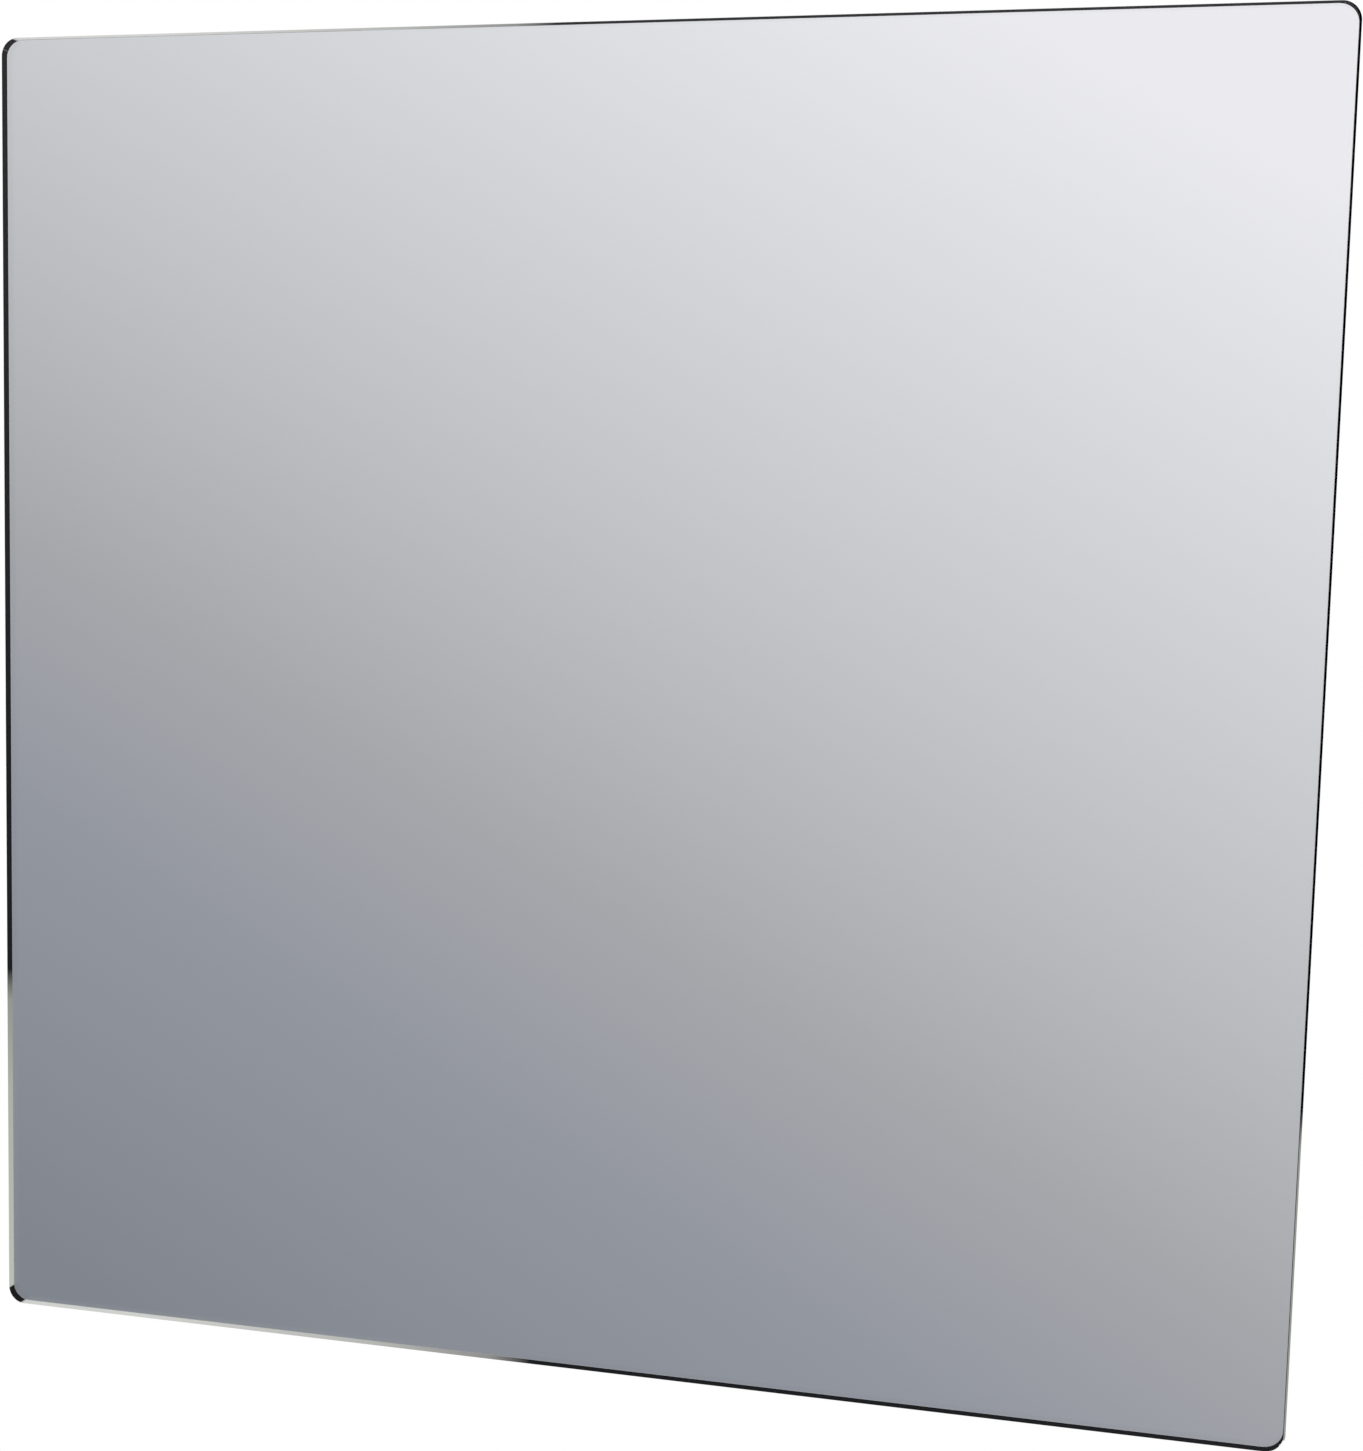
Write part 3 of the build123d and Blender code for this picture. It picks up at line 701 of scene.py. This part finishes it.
# ---------------------------------------------------------------------------------------------------------
# Backing board, rubber sheet and sealant
# ---------------------------------------------------------------------------------------------------------
BOARD_CORNER = 10 * MM
BOARD_ROUNDING = 0.9 * MM
SCREW_OFFSET = 85 * MM
SCREW_HOLE = 3.3 * MM
COUNTERSINK = 5.95 * MM
ROUNDING_STEPS = 5
RUBBER_CORNER = 20 * MM
RUBBER_BULGE = 0.5 * MM
BULGE_STEPS = 8
BEAD_INSET = 6 * MM
BEAD_SAG = 0.9 * MM
BEAD_STEPS = 8
BEAD_SIDE_STEPS = 90
BEAD_WANDER = 0.05
BEAD_TURNS = (61, 47, 143)
SAG_SHARE = 0.7


def screw_places():
    """Where the four screws are, in x and z."""
    return [(x, z) for x in (-SCREW_OFFSET, SCREW_OFFSET) for z in (-SCREW_OFFSET, SCREW_OFFSET)]


def make_board():
    """The laminate board, with a rounded back edge and four countersunk holes."""
    near, far, half = front("backing_board"), back("backing_board"), half_side("backing_board")
    rings = [(0, near)]
    for step in range(ROUNDING_STEPS + 1):
        turn = math.pi / 2 * step / ROUNDING_STEPS
        inset = BOARD_ROUNDING * (1 - math.cos(turn))
        rings.append((inset, far - BOARD_ROUNDING * (1 - math.sin(turn))))
    board = slab("laminate_board", half, BOARD_CORNER, rings, [FINISHES["board"]])
    depth = COUNTERSINK - SCREW_HOLE
    drill(board, screw_places(), ((COUNTERSINK, near), (SCREW_HOLE, near + depth), (SCREW_HOLE, far)))
    place(board, "mirror", "board", "backing_board")


def make_rubber():
    """The rubber sheet, its cut edge bulging a little where the carrier plate squeezes it."""
    near, far, half = front("rubber_pad"), back("rubber_pad"), half_side("rubber_pad")
    rings = []
    for step in range(BULGE_STEPS + 1):
        part = step / BULGE_STEPS
        rings.append((RUBBER_BULGE * (1 - math.sin(math.pi * part)), near + (far - near) * part))
    sheet = slab("rubber_sheet", half, RUBBER_CORNER, rings, [FINISHES["rubber_pad"]])
    drill(sheet, screw_places(), ((SCREW_HOLE, near), (SCREW_HOLE, far)))
    place(sheet, "mirror", "rubber_pad", "rubber_pad")


def make_bead():
    """The sealant: flat under the board, and a hollow tooled fillet between its edge and the pane."""
    base, top = front("edge_sealant"), back("edge_sealant")
    board_half, board_front = half_side("backing_board"), front("backing_board")
    reach = half_side("edge_sealant") - board_half
    height = top - base
    profile = [(-BEAD_INSET, board_front - base), (-BEAD_INSET, 0)]
    for step in range(BEAD_STEPS + 1):
        part = step / BEAD_STEPS
        sag = SAG_SHARE * BEAD_SAG * math.sin(math.pi * part)
        profile.append((reach * (1 - part) - sag, height * part - sag))
    profile.append((0, board_front - base))

    def wander(spot, _):
        """How much the hand-tooled bead has here of its full size, which it reaches only now and then."""
        long_turns, short_turns, quick_turns = BEAD_TURNS
        waves = math.sin(spot.x * long_turns) + math.sin(spot.y * short_turns + 1)
        waves += math.sin((spot.x + spot.y) * quick_turns)
        return 1 - BEAD_WANDER + BEAD_WANDER * waves / 3

    path = square_path(board_half, BOARD_CORNER, BEAD_SIDE_STEPS)
    bead = moulding("sealant_bead", path, base, profile, wander, [FINISHES["sealant"]])
    place(bead, "mirror", "sealant", "edge_sealant")


# ---------------------------------------------------------------------------------------------------------
# Weld beads
# ---------------------------------------------------------------------------------------------------------
WELD_LEG = 3 * MM
FORK_WELD_LEG = 1.8 * MM
WELD_PITCH = 1.9 * MM
WELD_RIPPLE = 0.045
WELD_BULGE = 1.45
WELD_SMOOTH_BELOW = 2 * SMOOTH_BELOW
CRESCENT = 0.8
RIPPLE_STEPS = 6
SECTION_STEPS = 6
SUNK = 0.3 * MM
TOUCH = 0.05 * MM
TUBE_CORNER = 5 * MM
GUSSET_TOE = 6 * MM


def weld_section(leg):
    """A weld's bulging face from one leg to the other, as distances along the two legs."""
    section = []
    for step in range(SECTION_STEPS + 1):
        turn = math.pi / 2 * step / SECTION_STEPS
        section.append((leg * math.cos(turn) ** WELD_BULGE, leg * math.sin(turn) ** WELD_BULGE))
    return section


def straight_weld(start, end, first, second, leg, points, faces):
    """Adds one fillet weld between the surfaces that the first and second directions lie in."""
    start, end, first, second = (Vector(v) for v in (start, end, first, second))
    length = (end - start).length
    steps = round(length / WELD_PITCH) * RIPPLE_STEPS
    section = weld_section(leg)
    ring = len(section) + 1
    base = len(points)
    for i in range(steps + 1):
        gone = length * i / steps
        nearest_end = min(1.0, (min(gone, length - gone) + SUNK) / leg)
        taper = math.sqrt(1 - (1 - nearest_end) ** 2)
        corner = start + (end - start) * i / steps
        points.append(corner - (first + second) * SUNK)
        for a, b in section:
            crescent = CRESCENT * math.sqrt(a * b)
            ripple = 1 + WELD_RIPPLE * (math.cos(math.tau * (gone + crescent) / WELD_PITCH) - 1)
            points.append(corner + (first * a + second * b) * taper * ripple)
    for i in range(steps):
        faces += strip(base + i * ring, base + (i + 1) * ring, ring)
    faces.append(tuple(range(base, base + ring)))
    faces.append(tuple(reversed(range(base + steps * ring, base + (steps + 1) * ring))))


def weld_piece(name, body, runs):
    """One piece of straight welds. Each run is (start, end, first direction, second direction)."""
    points, faces = [], []
    for start, end, first, second in runs:
        straight_weld(start, end, first, second, WELD_LEG, points, faces)
    piece = finish_mesh(name, points, faces, [FINISHES["galvanised_steel"]])
    face_outwards(piece)
    piece.data.set_sharp_from_angle(angle=WELD_SMOOTH_BELOW)
    place(piece, body, "galvanised_steel")


def ring_weld(name, body, base, direction, leg):
    """A fillet weld round the arm's tube, from the plate at y = base."""
    half = half_side("arm_tube")
    profile = [(-SUNK, -SUNK * direction)] + [(a, b * direction) for a, b in weld_section(leg)]

    def ripple(_, i):
        """The weld's size at the path's step i."""
        return 1 + WELD_RIPPLE * (math.cos(math.tau * i / RIPPLE_STEPS) - 1)

    side_steps = round(2 * (half - TUBE_CORNER) / WELD_PITCH) * RIPPLE_STEPS
    path = square_path(half, TUBE_CORNER, side_steps)
    piece = moulding(name, path, base, profile, ripple, [FINISHES["galvanised_steel"]])
    face_outwards(piece)
    place(piece, body, "galvanised_steel")


def weld_cheeks():
    """Welds down both sides of both tilt cheeks, broken on the outside where the small gussets stand."""
    low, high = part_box("tilt_cheeks")
    plate = back("carrier_plate")
    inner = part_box("tilt_bushes")[1].x + TOUCH
    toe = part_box("cheek_gussets")[1].z + WELD_LEG
    top, bottom = high.z - WELD_LEG, low.z + WELD_LEG
    runs = []
    for side in (1, -1):
        for x, upper, lower in ((high.x, top, toe), (high.x, -toe, bottom), (inner, top, bottom)):
            outwards = side if x > inner else -side
            runs.append(((side * x, plate, upper), (side * x, plate, lower), (outwards, 0, 0), (0, 1, 0)))
    weld_piece("cheek_welds", "mirror", runs)


def weld_cheek_gussets():
    """Welds on both faces of the two small gussets, along the carrier plate and up the cheeks."""
    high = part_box("cheek_gussets")[1]
    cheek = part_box("tilt_cheeks")[1].x
    plate = back("carrier_plate")
    runs = []
    for side in (1, -1):
        for up in (1, -1):
            face = up * high.z
            foot = ((side * (cheek + GUSSET_TOE), plate, face), (side * high.x, plate, face))
            runs.append((*foot, (0, 0, up), (0, 1, 0)))
            root = ((side * cheek, plate + GUSSET_TOE, face), (side * cheek, high.y, face))
            runs.append((*root, (0, 0, up), (side, 0, 0)))
    weld_piece("cheek_gusset_welds", "mirror", runs)


def weld_arm_gussets():
    """Welds on both faces of the arm's two gussets, along the wall plate and along the tube."""
    low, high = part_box("arm_gussets")
    tube = half_side("arm_tube")
    runs = []
    for up in (1, -1):
        for side in (1, -1):
            face = side * high.x
            foot = ((face, high.y, up * (tube + GUSSET_TOE)), (face, high.y, up * high.z))
            runs.append((*foot, (side, 0, 0), (0, -1, 0)))
            along = ((face, high.y - GUSSET_TOE, up * tube), (face, low.y, up * tube))
            runs.append((*along, (side, 0, 0), (0, 0, up)))
    weld_piece("arm_gusset_welds", "wall_bracket", runs)


make_pane()
make_silver()
make_paint()
make_board()
make_rubber()
make_bead()
weld_cheeks()
weld_cheek_gussets()
weld_arm_gussets()
ring_weld("wall_weld", "wall_bracket", front("wall_plate"), -1, WELD_LEG)
ring_weld("fork_weld", "wall_bracket", back("pan_fork"), 1, FORK_WELD_LEG)
